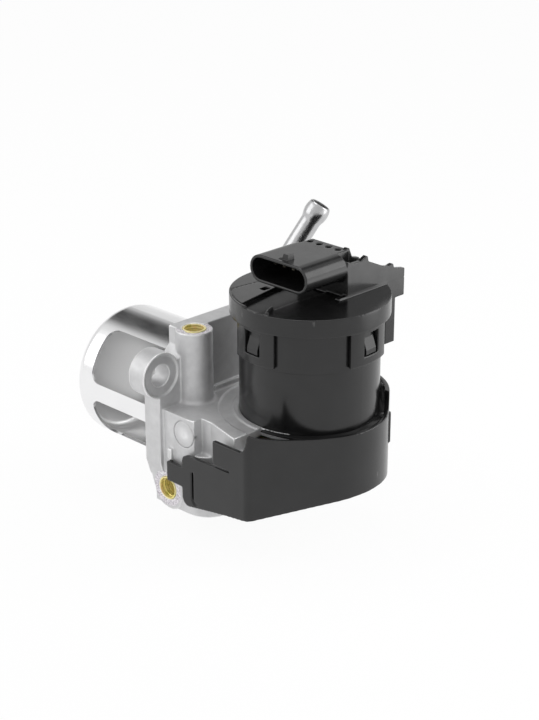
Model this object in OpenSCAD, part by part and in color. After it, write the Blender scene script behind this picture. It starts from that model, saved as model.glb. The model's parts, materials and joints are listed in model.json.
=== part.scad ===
// Electric exhaust gas recirculation valve.
// Origin: centre of the outlet cage at the flange's mating face.
// The cage points to -X, the motor stands at +X with its axis along +Z.
// Exhaust gas comes in on the +Y side, passes the poppet and leaves through the cage's windows.

/* [Outlet cage] */
// Outer radius of the deep-drawn cage
cage_r = 30.5; // [29.5:0.1:31.5]
// Sheet thickness of the cage
cage_wall = 1.3; // [1:0.1:1.6]
// Length of the cage in front of the flange
cage_len = 58; // [52:1:70]
// Radius of the drawn edge at the closed end
cage_edge_r = 5; // [3:0.5:7]
// Distance from the closed end to the windows
window_end_gap = 11.2; // [9:0.2:16]
// Distance from the flange to the windows
window_flange_gap = 6; // [4:0.5:10]
// Half of the angle that one window takes up
window_half_angle = 25.3; // [20:0.1:27]
// Half of the angle of the bar between two windows
window_bar_half = 8; // [6:0.5:10]
// Corner radius of a window
window_corner_r = 5; // [3:0.5:6]

/* [Flange] */
// Thickness of the mounting flange
flange_t = 9.7; // [9.4:0.1:11]
// Distance from the cage axis to the flange's side edges
flange_half_w = 38.8; // [38:0.2:41]
// Height of the flange above the cage axis
flange_top = 42.5; // [41:0.5:45]
// Depth of the flange below the cage axis
flange_bottom = 41.5; // [40:0.5:44]
// Radius of the circle that the four bolt holes lie on
bolt_circle_r = 45; // [44.5:0.1:46]
// Angle of the upper bolt holes above the horizontal
upper_bolt_angle = 34.3; // [33:0.1:35]
// Angle of the lower rear bolt hole below the horizontal
rear_bolt_angle = 62; // [60:0.5:66]
// Radius of a plain bolt hole
bolt_hole_r = 4.9; // [4.3:0.1:5.2]
// Outer radius of an upper lug
upper_lug_r = 10.3; // [9.5:0.1:11]
// Outer radius of the lower rear lug
lower_lug_r = 7.8; // [7:0.1:8.5]
// Bore radius of the yellow passivated bushes
bush_bore_r = 4.2; // [4:0.05:4.4]
// Wall of the yellow bushes
bush_wall = 0.9; // [0.7:0.05:1.2]

/* [Body casting] */
// Height of the deck around the motor
deck_z = 10; // [9.9:0.1:10.4]
// Depth of the round recess that the motor stands in
deck_recess = 0.5; // [0.3:0.1:0.8]
// Radius of that recess
deck_recess_r = 38.8; // [37:0.2:40]
// Thickness of the deck over the gears
deck_t = 3.5; // [3.2:0.1:4]
// Distance from the stem axis to the side panel
panel_y = 37; // [36.4:0.1:37.2]
// Lowest face of the gas box
gas_box_bottom = 34.5; // [33:0.5:36]
// Corner radius of the gas box
gas_box_corner_r = 12; // [8:1:14]
// Radius of the upright screw column
column_r = 8; // [7.5:0.1:8.6]
// Height of the column's top face
column_top = 42; // [40:0.5:44]
// Length of the bush in the column
column_bush_len = 12; // [8:1:16]
// Width of the gear case's ledge around the motor housing
case_ledge = 1.6; // [1.3:0.1:1.7]
// Wall of the gear case
case_wall = 2.8; // [2.5:0.1:3]
// Lower edge of the gear case, below the cage axis
case_depth = 17.2; // [17.2:0.1:17.6]
// Thickness of the bottom cover
cover_t = 2.8; // [2.6:0.1:3.2]

/* [Poppet] */
// Depth of the stem axis below the cage axis
stem_drop = 10; // [9.8:0.1:10.2]
// Radius of the stem
stem_r = 2.5; // [2.3:0.1:2.6]
// Radius of the throat in the seat
throat_r = 13.6; // [12:0.1:14]
// Radius of the poppet's head
head_r = 15.6; // [15:0.1:16.2]
// Outer radius of the seat ring
seat_r = 18; // [17.6:0.1:18.2]
// How far the poppet opens
lift = 6; // [4:0.5:6]
// Radial running clearance of shafts and pins
run_gap = 0.05; // [0.03:0.01:0.08]

/* [Gear train] */
// Teeth of the motor pinion
pinion_teeth = 10; // [10:1:10]
// Teeth of the large intermediate wheel
wheel_teeth = 29; // [28:1:30]
// Teeth of the small intermediate pinion
small_teeth = 11; // [11:1:12]
// Teeth of the output gear
output_teeth = 35; // [34:1:35]
// Module of the first gear pair
first_module = 0.7; // [0.68:0.01:0.7]
// Module of the second gear pair
second_module = 1; // [0.98:0.01:1]
// Turn of the output gear that opens the valve fully
output_turn = 120; // [90:5:130]
// Radius of the cam roller
roller_r = 2; // [1.8:0.1:2.1]

/* [Motor] */
// Distance from the flange to the motor axis
motor_x = 51; // [51:0.1:51.4]
// Sideways offset of the motor axis
motor_y = 10; // [9.8:0.1:10.2]
// Outer radius of the motor housing
motor_r = 30; // [29.6:0.1:30.2]
// Height of the seam where the housing widens
motor_step_z = 36.7; // [34:0.5:38]
// Height of the cap's top face
cap_top_z = 62.5; // [61.5:0.5:64]
// Height of the cap's wide band
cap_band_h = 8.8; // [8:0.2:10]
// How far the cap's band stands out from the motor housing
cap_overhang = 4; // [3.8:0.1:4.4]
// Length of the clip tabs below the band
tab_len = 15.6; // [13:0.1:16]
// Half of the angle that one clip tab takes up
tab_half_angle = 20.5; // [18:0.5:23]

/* [Connector] */
// Width of the connector's collar
collar_w = 32.6; // [30:0.2:34]
// Height of the connector's collar
collar_h = 11.9; // [11:0.1:13]
// Height of the collar's top
collar_top_z = 80; // [79:0.5:82]
// How far the collar's mouth lies in front of the motor axis
collar_reach = 19.4; // [17:0.2:22]
// Number of contact pins
pin_count = 5; // [4:1:6]
// Spacing of the contact pins
pin_pitch = 5.3; // [4.6:0.1:5.4]

/* [Shroud] */
// Gap between the gear case and the shroud around the motor axis
shroud_gap = 0.6; // [0.5:0.1:0.8]
// Wall of the shroud
shroud_wall = 2; // [1.8:0.1:2.1]
// Height of the shroud's rim
shroud_rim_z = 9.3; // [8.5:0.1:9.5]

/* [Coolant pipe] */
// Outer radius of the pipe
pipe_r = 4.5; // [4:0.1:5]
// Wall of the pipe
pipe_wall = 0.9; // [0.7:0.1:1.2]
// Length of the pipe above the flange
pipe_len = 50; // [40:1:56]

/* [Hidden] */
$fn = 72;
// Names of the sub-parts

// Small play between pieces that are pressed or laid together
seat_gap = 0.05;
// Small overlap that makes cuts run clean through a face
cut = 0.5;

// Heights and places in the casting
floor_x = 4;
recess_z = deck_z - deck_recess;
ceiling_z = recess_z - deck_t;
chamber_r = 7.2;
chamber_x = 15.9;
chamber_low = 9;
chamber_high = 7.5;
chamber_end_y = -20;
inlet_y = 46;
inlet_t = 8;
inlet_bolt_span = 42;
inlet_bolt_r = 4.25;
inlet_lug_r = 7.5;
guide_wall_x = 23.1;
pocket_x = 26.2;
case_x = 36;
pocket_r = 6.9;
guide_boss_r = 4.8;
guide_boss_len = 4;
guide_bush_r = 3.8;
case_r = motor_r + case_ledge;
motor_ledge_r = case_r + 1.2;
plinth_r = motor_r - 1.5;
column_x = 10;
column_y = -18.5;
web_y = -24;
spotface_r = upper_lug_r - 1;
spotface_depth = 0.8;
side_face_y = -panel_y - 0.6;
side_boss_depth = 14;
side_bush_at = [12.3, side_face_y, -26];
side_bush_len = 12;
side_bush_mouth = 2.2;
side_bush_mouth_r = 4.6;
case_corner = [motor_x + 10.6, side_face_y];
gear_room_front = -27;
case_front_left = [30, -31];
panel_end_x = 28.5;
box_end_x = 37;

// Stem line
stem_z = -stem_drop;
seat_x0 = floor_x + seat_gap;
seat_len = 4.6;
head_t = 3.4;
cup_x = 37.1;
cup_t = 1.1;
cup_r = pocket_r - 0.15;
yoke_x = cup_x + cup_t;
yoke_len = 14.3;
yoke_half_w = 4.5;
yoke_top_z = -7;
yoke_low_z = -13.3;
stem_end_x = yoke_x + 7;
pin_r = 1.2;
spring_wire_r = 0.55;
spring_coils = 4;
spring_r = 5.6;

// Output gear and its cam slot
gear_low_z = -6.5;
gear_high_z = ceiling_z - 6.5;
slot_depth = 4;
cam_closed_r = 7;
roller_x = 50;
output_x = roller_x + cam_closed_r;
output_axle_r = 2.5;
lower_hub_r = 4;
magnet_r = 7.5;
magnet_h = 2.5;
cover_z = -case_depth;
hub_low_z = cover_z + 0.6;
hub_high_z = ceiling_z - 0.4;

// Intermediate gear: its axis lies at both gear pairs' centre distances
first_distance = first_module * (pinion_teeth + wheel_teeth) / 2;
second_distance = second_module * (small_teeth + output_teeth) / 2;
to_motor = [motor_x - output_x, motor_y];
axis_gap = norm(to_motor);
along = (second_distance ^ 2 - first_distance ^ 2 + axis_gap ^ 2) / (2 * axis_gap);
across = sqrt(second_distance ^ 2 - along ^ 2);
mid_x = output_x + (along * to_motor[0] + across * to_motor[1]) / axis_gap;
mid_y = (along * to_motor[1] - across * to_motor[0]) / axis_gap;
mid_axle_r = 1.75;
wheel_low_z = 0.5;
wheel_high_z = 4.5;

// Turn that puts each gear's teeth in mesh with the gear before it
first_angle = atan2(mid_y - motor_y, mid_x - motor_x);
second_angle = atan2(mid_y, mid_x - output_x);

// Motor
shaft_r = 1.5;
motor_floor = 3;
housing_wall = 2.8;
housing_low_z = recess_z;
housing_top_z = cap_top_z - cap_band_h + 5;
can_r = motor_r - housing_wall - 0.4;
can_wall = 1.6;
can_low_z = housing_low_z + motor_floor + seat_gap;
can_top_z = 50;
spigot_r = 6.9;
bearing_r = 4;
bearing_len = 5;
armature_r = 17;
magnet_gap = 0.7;
motor_screw_circle = motor_r - 9;
motor_screw_r = 1.8;
motor_screw_head_r = 3.1;
seal_ring_r = motor_r - 4.5;
seal_wire_r = 0.9;
step_out = 0.5;
cap_r = motor_r + cap_overhang;
cap_band_z = cap_top_z - cap_band_h;
cap_step = 0.9;
cap_channel_depth = 1.6;
cap_floor_z = cap_top_z - 2.6;
tab_r = motor_r + 2.6;
tab_low_z = cap_band_z - tab_len;
tab_window_half = 8.2;
tab_window_low = cap_band_z - 11.8;
tab_window_high = cap_band_z - 1.8;
tab_angles = [5, 86, 176, 266];

// Connector
collar_mouth_y = motor_y - collar_reach;
collar_mid_z = collar_top_z - collar_h / 2;
collar_wall = 1.3;
block_front_y = motor_y + 5;
block_back_y = motor_y + 12;
collar_floor_y = motor_y - 1;
duct_low_z = 34.4;
pin_w = 1.5;
pin_t = 0.8;
pin_inset = 9;

// Shroud
shroud_r = case_r + shroud_gap + shroud_wall;
plate_gap = 0.4;
shroud_corner_r = 4;
shroud_corner = case_corner + [-0.15, shroud_corner_r - shroud_wall - plate_gap];
shroud_low_z = -30;
shroud_high_z = 18.3;
shroud_left_x = 24.2;
shroud_slope = 0.19;
shroud_corner_low_z = -23.3;

// Coolant pipe: leaves the flange's top edge, leaning back and outwards
pipe_base = [4.9, 27, flange_top];
pipe_dir = [0.312, 0.428, 0.847];
pipe_sink = 9;

// Cylinder along +X from x0
module x_cylinder(x0, length, r, r2 = undef) {
    translate([x0, 0, 0]) rotate([0, 90, 0])
        cylinder(h = length, r1 = r, r2 = is_undef(r2) ? r : r2);
}

// Extrudes an outline drawn in Y and Z along +X
module along_x(x0, length) {
    translate([x0, 0, 0]) rotate([90, 0, 90]) linear_extrude(length) children();
}

// Extrudes an outline drawn in X and Z along +Y
module along_y(y0, length) {
    translate([0, y0 + length, 0]) rotate([90, 0, 0]) linear_extrude(length) children();
}

// Rectangle with round corners, from its lower left corner
module round_rect(w, h, r) {
    translate([r, 0]) square([w - 2 * r, h]);
    translate([0, r]) square([w, h - 2 * r]);
    for (x = [r, w - r], y = [r, h - r]) translate([x, y]) circle(r);
}

// Ring around Z
module ring(z0, h, r_out, r_in) {
    translate([0, 0, z0]) difference() {
        cylinder(h = h, r = r_out);
        translate([0, 0, -cut]) cylinder(h = h + 2 * cut, r = r_in);
    }
}

// Torus around Z
module torus(r, wire_r) {
    rotate_extrude() translate([r, 0]) circle(wire_r, $fn = 24);
}

// Concave foot fillet of an upright cylinder of radius r
module foot_fillet(r, f) {
    rotate_extrude() difference() {
        translate([r - cut, 0]) square([f + cut, f]);
        translate([r + f, f]) circle(f, $fn = 48);
    }
}

// Flat sector from angle a0 to a1, reaching past radius r
module sector(r, a0, a1) {
    mid = (a0 + a1) / 2;
    polygon([[0, 0], for (a = [a0, mid, a1]) r / cos((a1 - a0) / 4) * [cos(a), sin(a)]]);
}

// Involute gear outline with backlash; a tooth's middle lies at angle 0
function involute(base_r, r) =
    let (t = sqrt(max(0, (r / base_r) ^ 2 - 1))) t * 180 / PI - atan(t);
module gear_outline(m, teeth, backlash = 0.12, press_angle = 25) {
    pitch_r = m * teeth / 2;
    base_r = pitch_r * cos(press_angle);
    tip_r = pitch_r + 0.85 * m;
    root_r = pitch_r - 1.1 * m;
    half = 90 / teeth - backlash / pitch_r * 90 / PI + involute(base_r, pitch_r);
    low_r = max(root_r, base_r);
    radii = [root_r, for (i = [0:4]) low_r + (tip_r - low_r) * i / 4];
    polygon([for (k = [0:teeth - 1])
        let (mid = k * 360 / teeth)
        each concat(
            [for (r = radii) let (a = mid - half + involute(base_r, r)) r * [cos(a), sin(a)]],
            [for (i = [5:-1:0]) let (r = radii[i], a = mid + half - involute(base_r, r))
                r * [cos(a), sin(a)]])
    ]);
}

// Angle by which a gear turns so that a gap of it faces a tooth of its partner.
// The partner, turned by partner_turn, lies at the angle facing it.
function mesh_turn(facing, partner_turn, partner_teeth, teeth) =
    let (phase = (facing - partner_turn) * partner_teeth / 360)
    facing + 180 + (0.5 - phase) * 360 / teeth * -1;

pinion_turn = 0;
wheel_turn = mesh_turn(first_angle, pinion_turn, pinion_teeth, wheel_teeth);
small_turn = wheel_turn;
output_turn0 = mesh_turn(second_angle + 180, small_turn, small_teeth, output_teeth);

// Outline of the gear case in plan, grown by g
function tangent_point(c, r, p) =
    let (v = p - c, d = norm(v), a = atan2(v[1], v[0]) + acos(r / d)) c + r * [cos(a), sin(a)];
module case_outline(g = 0) {
    centre = [motor_x, motor_y];
    corner = case_corner + [0.64 * g, -g];
    translate(centre) circle(case_r + g, $fn = 120);
    polygon([
        [case_x - case_wall - g, case_front_left[1] - g],
        case_front_left + [0, -g],
        [case_corner[0] - 5, corner[1]],
        corner,
        tangent_point(centre, case_r + g, corner),
        centre,
        [motor_x, motor_y + case_r + g],
        [case_x - case_wall - g, motor_y + case_r + g]
    ]);
}

// Places a child on each of the three motor screw axes
module at_motor_screws() {
    for (a = [0, 120, 240]) translate([motor_x, motor_y, 0]) rotate(a)
        translate([motor_screw_circle, 0, 0]) children();
}

// Places of the cover's screws, in the case's corners clear of the gears
case_inner_r = case_r - case_wall;
cover_screws_at = [
    case_corner + [-3.6, 4],
    for (a = [6.4, 51.7]) [motor_x, motor_y] + (case_inner_r - 2) * [cos(a), sin(a)],
    [case_x + 4.5, motor_y + case_inner_r - 2.6], [case_x + 4.2, gear_room_front - 0.4]
];
cover_screw_r = 1.5;
cover_boss_r = 3.2;
cover_boss_h = 8;

// Positions of the flange's bolt holes, as [y, z]
upper_bolts = [for (s = [-1, 1]) bolt_circle_r * [s * cos(upper_bolt_angle), sin(upper_bolt_angle)]];
rear_bolt = bolt_circle_r * [cos(rear_bolt_angle), -sin(rear_bolt_angle)];

// Flange outline in Y and Z
module flange_outline() {
    w = flange_half_w;
    polygon([
        [web_y, flange_top], [w - 4, flange_top], [w, flange_top - 4], [w, -16],
        [w - 2, -22.5], [w - 6, -30], [w - 12, -36.5], [w - 20, -flange_bottom],
        [20 - w, -flange_bottom], [12 - w, -36.5], [6 - w, -30], [2 - w, -22.5], [-w, -16],
        [-w, 18], [web_y, 34.5]
    ]);
}

// Box around the gas chamber in plan
module gas_box_outline() {
    x1 = box_end_x;
    r = gas_box_corner_r;
    polygon([
        [floor_x, -panel_y], [x1 - r, -panel_y], [x1 - r, r - panel_y], [x1, r - panel_y],
        [x1, inlet_y - 2], [floor_x, inlet_y - 2]
    ]);
    translate([x1 - r, r - panel_y]) circle(r);
}

// Chamber's cross-section in X and Z, grown by g
module chamber_outline(g = 0) {
    low = stem_z - chamber_low;
    high = stem_z + chamber_high;
    translate([chamber_x - chamber_r - g, low]) square([2 * (chamber_r + g), high - low]);
    for (z = [low, high]) translate([chamber_x, z]) circle(chamber_r + g);
}

// Places of the inlet flange's bolt holes, as [x, z]
inlet_bolts = [for (s = [-1, 1]) [chamber_x, stem_z + s * inlet_bolt_span / 2]];

module inlet_flange_outline(lug_r) {
    chamber_outline(4);
    for (b = inlet_bolts) {
        translate(b) circle(lug_r);
        translate([b[0] - lug_r, min(b[1], stem_z)]) square([2 * lug_r, inlet_bolt_span / 2]);
    }
}

// Solid mass of the casting, before its bores
module body_mass() {
    along_x(0, flange_t) flange_outline();
    for (b = upper_bolts) translate([0, b[0], b[1]]) x_cylinder(0, flange_t, upper_lug_r);
    translate([0, rear_bolt[0], rear_bolt[1]]) x_cylinder(0, flange_t, lower_lug_r);
    // Boss in the lower front corner, which takes a bush from the side
    along_y(side_face_y, side_boss_depth) polygon([
        [1, -19], [2.4, -24.6], [4.1, -28.4], [5, -31.2], [6.5, -33.4], [9.1, -34.8],
        [12.4, -35.6], [15, -35.6], [17.6, -34.6], [19.7, -33], [21, -29.3], [21, -19]
    ]);
    translate([column_x, column_y, 0]) {
        cylinder(h = column_top, r = column_r);
        translate([0, 0, deck_z]) foot_fillet(column_r, 1.8);
    }
    translate([0, web_y, 0]) cube([column_x, 10, flange_top]);
    translate([floor_x, -8, 0]) cube([flange_t - floor_x + 1.5, 46, 12.5]);
    difference() {
        translate([0, 0, -gas_box_bottom]) linear_extrude(gas_box_bottom + deck_z)
            gas_box_outline();
        translate([panel_end_x, -panel_y - cut, -6]) cube([20, 5 + cut, 20]);
    }
    translate([0, 0, cover_z]) linear_extrude(deck_z - cover_z) case_outline();
    along_y(inlet_y - inlet_t, inlet_t) inlet_flange_outline(inlet_lug_r);
    // Small catch above the shroud's left tab
    translate([13.6, -panel_y - 1.6, -11.3]) cube([2.4, 3, 4.9]);
}

// Room for the gears below the deck, with a boss for each cover screw
module gear_room() {
    difference() {
        translate([0, 0, cover_z - cut]) linear_extrude(ceiling_z - cover_z + cut)
            intersection() {
                case_outline(-case_wall);
                translate([case_x, gear_room_front]) square([80, 90]);
            }
        for (p = cover_screws_at) translate([p[0], p[1], cover_z])
            cylinder(h = cover_boss_h, r = cover_boss_r);
    }
}

module valve_body() color("gainsboro") difference() {
    body_mass();
    // Cage seat, valve seat and gas chamber
    x_cylinder(-cut, floor_x + cut, cage_r + seat_gap);
    translate([0, 0, stem_z]) x_cylinder(0, floor_x + seat_len + 0.1, seat_r + seat_gap);
    along_y(chamber_end_y, inlet_y - chamber_end_y + cut) chamber_outline();
    // Stem guide, spring pocket and gear room
    translate([0, 0, stem_z]) {
        x_cylinder(guide_wall_x - 3, case_x - guide_wall_x, guide_bush_r + seat_gap);
        difference() {
            x_cylinder(pocket_x, case_x - pocket_x + cut, pocket_r);
            x_cylinder(pocket_x - cut, guide_boss_len + cut, guide_boss_r);
        }
    }
    gear_room();
    // Round recess of the deck and lowered rim beside the motor
    translate([motor_x, motor_y, 0]) {
        ring(recess_z, 5, deck_recess_r, motor_ledge_r);
        translate([0, 0, recess_z]) cylinder(h = 5, r = motor_r + 0.2, $fn = 120);
        difference() {
            translate([0, 0, ceiling_z - 3]) linear_extrude(12) sector(60, -87.5, 112);
            cylinder(h = 20, r = motor_r + 0.2);
        }
        // Undercut below the housing, at the level of the shroud's rim
        difference() {
            translate([0, 0, ceiling_z + 1.6]) linear_extrude(12) sector(60, -62, 109);
            cylinder(h = 20, r = plinth_r);
        }
    }
    // Step in the deck's front edge
    translate([41.4, -60, ceiling_z - 9]) cube([1.3, 24.6, 30]);
    // Motor spigot, screws and axles in the deck
    translate([motor_x, motor_y, 0]) cylinder(h = 20, r = spigot_r + seat_gap);
    at_motor_screws() cylinder(h = 20, r = motor_screw_r + 0.2);
    translate([output_x, 0, 0]) cylinder(h = recess_z - 1, r = output_axle_r + seat_gap);
    translate([mid_x, mid_y, 0]) cylinder(h = recess_z - 1, r = mid_axle_r + seat_gap);
    for (p = cover_screws_at) translate([p[0], p[1], cover_z - cut])
        cylinder(h = cover_boss_h, r = cover_screw_r + seat_gap);
    // Bolt holes, spot faces and bush bores
    for (b = upper_bolts) translate([0, b[0], b[1]]) {
        x_cylinder(-cut, 20, bolt_hole_r);
        x_cylinder(flange_t - spotface_depth, 5, spotface_r);
    }
    translate([0, rear_bolt[0], rear_bolt[1]]) {
        x_cylinder(-cut, 20, bush_bore_r + bush_wall + seat_gap);
        x_cylinder(flange_t, 30, lower_lug_r + 1.4);
    }
    translate(side_bush_at - [0, cut, 0]) rotate([-90, 0, 0])
        cylinder(h = side_bush_len + cut, r = bush_bore_r + bush_wall + seat_gap);
    translate([column_x, column_y, column_top - column_bush_len])
        cylinder(h = 20, r = bush_bore_r + bush_wall + seat_gap);
    for (b = inlet_bolts) translate([b[0], inlet_y - 14, b[1]]) rotate([-90, 0, 0])
        cylinder(h = 20, r = inlet_bolt_r);
    // Core plug bore and coolant passage
    translate([22.2, -panel_y - cut, 2.2]) rotate([-90, 0, 0]) cylinder(h = 3 + cut, r = 6);
    pipe_frame() translate([0, 0, -pipe_sink]) cylinder(h = 20, r = pipe_r + seat_gap);
    // Groove of the flange's seal
    rotate([0, 90, 0]) ring(-cut, cut + 1.8, cage_r + 4.2, cage_r + 1.6);
}

module outlet_cage() color("silver") {
    low = cage_len;
    inner = cage_r - cage_wall;
    difference() {
        rotate([0, -90, 0]) rotate_extrude($fn = 120) difference() {
            union() {
                translate([0, -floor_x + seat_gap]) square([cage_r, low - cage_edge_r + floor_x]);
                translate([0, -floor_x + seat_gap])
                    square([cage_r - cage_edge_r, low + floor_x - seat_gap]);
                translate([cage_r - cage_edge_r, low - cage_edge_r]) circle(cage_edge_r);
            }
            translate([0, -floor_x - cut]) square([inner, low - cage_edge_r + floor_x + cut]);
            square([cage_r - cage_edge_r, low - cage_wall]);
            translate([cage_r - cage_edge_r, low - cage_edge_r])
                circle(cage_edge_r - cage_wall);
        }
        window_len = cage_len - window_end_gap - window_flange_gap;
        window_w = 2 * cage_r * sin(window_half_angle);
        mid = window_bar_half + window_half_angle;
        for (a = [mid, -mid, 180 - mid, 180 + mid]) rotate([a - 90, 0, 0])
            translate([-window_flange_gap - window_len, -window_w / 2, cage_r / 2])
                linear_extrude(cage_r) round_rect(window_len, window_w, window_corner_r);
    }
}

module seat_ring() color("dimgray") translate([0, 0, stem_z]) difference() {
    x_cylinder(seat_x0, seat_len - seat_gap, seat_r);
    x_cylinder(0, 20, throat_r);
    x_cylinder(seat_x0 - 0.01, 1.8, throat_r + 1.8, throat_r);
}

module poppet_valve() color("darkgray") translate([0, 0, stem_z]) {
    face_x = seat_x0 - 0.1;
    x_cylinder(face_x - head_t, head_t - 1.4, head_r);
    x_cylinder(face_x - 1.4, 1.4, head_r, head_r - 1.4);
    x_cylinder(face_x - 0.5, 4.5, 7, stem_r);
    x_cylinder(face_x, stem_end_x - face_x, stem_r);
}

module stem_guide() color("peru") translate([0, 0, stem_z]) difference() {
    x_cylinder(guide_wall_x - 2, pocket_x + guide_boss_len - guide_wall_x, guide_bush_r);
    x_cylinder(0, 60, stem_r + run_gap);
}

module stem_seal() color("seagreen") translate([0, 0, stem_z]) difference() {
    x_cylinder(pocket_x + guide_boss_len - 1.9, 1.8, guide_bush_r);
    x_cylinder(0, 60, stem_r + run_gap);
}

// Round wire swept along a helix about X
function helix_ring(c, t, sides) =
    let (a = t * 360, u = [0, cos(a), sin(a)])
    [for (k = [0:sides - 1]) let (b = k * 360 / sides)
        c + spring_wire_r * (cos(b) * u + sin(b) * [1, 0, 0])];
module return_spring() color("slategray") translate([0, 0, stem_z]) {
    sides = 8;
    steps = 20 * spring_coils;
    x0 = pocket_x + spring_wire_r + seat_gap;
    x1 = cup_x - spring_wire_r - seat_gap;
    points = [for (i = [0:steps])
        let (t = spring_coils * i / steps, a = t * 360,
             x = x0 + (x1 - x0) * max(0, min(1, (t - 0.6) / (spring_coils - 1.2))))
        each helix_ring([x, spring_r * cos(a), spring_r * sin(a)], t, sides)];
    faces = [
        [for (k = [0:sides - 1]) k],
        for (i = [0:steps - 1], k = [0:sides - 1]) let (a = i * sides, n = (k + 1) % sides)
            [a + k, a + sides + k, a + sides + n, a + n],
        [for (k = [sides - 1:-1:0]) steps * sides + k]
    ];
    polyhedron(points, faces, convexity = 6);
}

module spring_cup() color("lightsteelblue") translate([0, 0, stem_z]) difference() {
    union() {
        x_cylinder(cup_x, cup_t - seat_gap, cup_r);
        x_cylinder(cup_x - 1, 1.2, cup_r);
    }
    x_cylinder(cup_x - 2, 2, cup_r - 0.35);
    x_cylinder(0, 60, stem_r + seat_gap);
}

module stem_yoke() color("gray") difference() {
    translate([yoke_x, -yoke_half_w, yoke_low_z])
        cube([yoke_len, 2 * yoke_half_w, yoke_top_z - yoke_low_z]);
    translate([0, 0, stem_z]) x_cylinder(0, stem_end_x + seat_gap, stem_r + seat_gap);
    translate([roller_x, 0, yoke_low_z - cut]) cylinder(h = 20, r = pin_r + seat_gap);
}

module roller_pin() color("silver") translate([roller_x, 0, yoke_low_z + 0.3])
    cylinder(h = gear_low_z + slot_depth - 0.3 - yoke_low_z - 0.3, r = pin_r);

module cam_roller() color("lightgray") translate([roller_x, 0, 0])
    ring(yoke_top_z + 0.2, 3.8, roller_r, pin_r + run_gap);

// Spiral slot: the distance from the gear's axis grows evenly with the angle
module cam_slot_outline() {
    half_w = roller_r + run_gap;
    steps = 40;
    function path_r(t) = cam_closed_r + lift * t;
    function path(t) = path_r(t) * [cos(180 - output_turn * t), sin(180 - output_turn * t)];
    function side(t) =
        let (d = path(t + 0.001) - path(t - 0.001)) [-d[1], d[0]] / norm(d) * half_w;
    polygon(concat(
        [for (i = [0:steps]) path(i / steps) + side(i / steps)],
        [for (i = [steps:-1:0]) path(i / steps) - side(i / steps)]));
    for (t = [0, 1]) translate(path(t)) circle(half_w);
}

module output_gear() color("tan") translate([output_x, 0, 0]) difference() {
    union() {
        translate([0, 0, gear_low_z]) rotate(output_turn0)
            linear_extrude(gear_high_z - gear_low_z) gear_outline(second_module, output_teeth);
        translate([0, 0, hub_low_z]) cylinder(h = gear_low_z - hub_low_z + 1, r = lower_hub_r);
        translate([0, 0, gear_high_z - 1]) cylinder(h = hub_high_z - gear_high_z + 1, r = 5);
    }
    translate([0, 0, -50]) cylinder(h = 100, r = output_axle_r + run_gap);
    translate([0, 0, gear_low_z - cut]) linear_extrude(slot_depth + cut) cam_slot_outline();
}

module output_axle() color("silver")
    translate([output_x, 0, cover_z - 1.5]) cylinder(h = recess_z - cover_z + 0.4, r = output_axle_r);

module sensor_magnet() color("darkslategray") translate([output_x, 0, 0])
    ring(hub_low_z, magnet_h, magnet_r, lower_hub_r + seat_gap);

module sensor_board() color("darkgreen") difference() {
    translate([output_x - 9, -8, cover_z - 1.5]) cube([18, 16, 1.2]);
    translate([output_x, 0, -50]) cylinder(h = 100, r = output_axle_r + 0.8);
}

module intermediate_gear() color("wheat") translate([mid_x, mid_y, 0]) difference() {
    union() {
        translate([0, 0, wheel_low_z]) rotate(wheel_turn)
            linear_extrude(wheel_high_z - wheel_low_z) gear_outline(first_module, wheel_teeth);
        translate([0, 0, gear_low_z - 0.5]) rotate(small_turn)
            linear_extrude(wheel_low_z - gear_low_z + 1) gear_outline(second_module, small_teeth);
        translate([0, 0, hub_low_z]) cylinder(h = gear_low_z - hub_low_z, r = 3.5);
        translate([0, 0, wheel_high_z - 1]) cylinder(h = hub_high_z - wheel_high_z + 1, r = 4);
    }
    translate([0, 0, -50]) cylinder(h = 100, r = mid_axle_r + run_gap);
}

module intermediate_axle() color("silver")
    translate([mid_x, mid_y, cover_z - 1.5]) cylinder(h = recess_z - cover_z + 0.4, r = mid_axle_r);

module motor_pinion() color("goldenrod") translate([motor_x, motor_y, 0]) difference() {
    translate([0, 0, wheel_low_z + 0.1]) rotate(pinion_turn)
        linear_extrude(wheel_high_z - wheel_low_z) gear_outline(first_module, pinion_teeth);
    translate([0, 0, -5]) cylinder(h = 20, r = shaft_r + 0.01);
}

module motor_shaft() color("silver") translate([motor_x, motor_y, wheel_low_z - 0.4])
    cylinder(h = can_top_z + 1 - wheel_low_z, r = shaft_r);

// Laminated armature stack with skewless winding slots, and its end windings
module armature() color("sienna") translate([motor_x, motor_y, 0]) difference() {
    union() {
        translate([0, 0, 19]) linear_extrude(19) difference() {
            circle(armature_r);
            for (a = [0:45:315]) rotate(a) {
                translate([8, -2.2]) square([6.5, 4.4]);
                translate([14, -0.9]) square([5, 1.8]);
            }
        }
        translate([0, 0, 16]) cylinder(h = 25, r = 11.5);
    }
    translate([0, 0, -5]) cylinder(h = 80, r = shaft_r + 0.01);
}

module commutator() color("darkorange") translate([motor_x, motor_y, 0]) difference() {
    translate([0, 0, 41.2]) linear_extrude(6) difference() {
        circle(6);
        for (a = [0:45:315]) rotate(a + 22.5) translate([5, -0.25]) square([2, 0.5]);
    }
    translate([0, 0, 30]) cylinder(h = 30, r = shaft_r + 0.01);
}

module motor_can() color("slategray") translate([motor_x, motor_y, 0]) difference() {
    translate([0, 0, can_low_z]) cylinder(h = can_top_z - can_low_z, r = can_r);
    translate([0, 0, can_low_z + can_wall]) cylinder(h = 60, r = can_r - can_wall);
    cylinder(h = 60, r = bearing_r + seat_gap);
    for (a = [0, 120, 240]) rotate(a) translate([motor_screw_circle, 0, 0])
        cylinder(h = 30, r = motor_screw_r + seat_gap);
}

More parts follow.
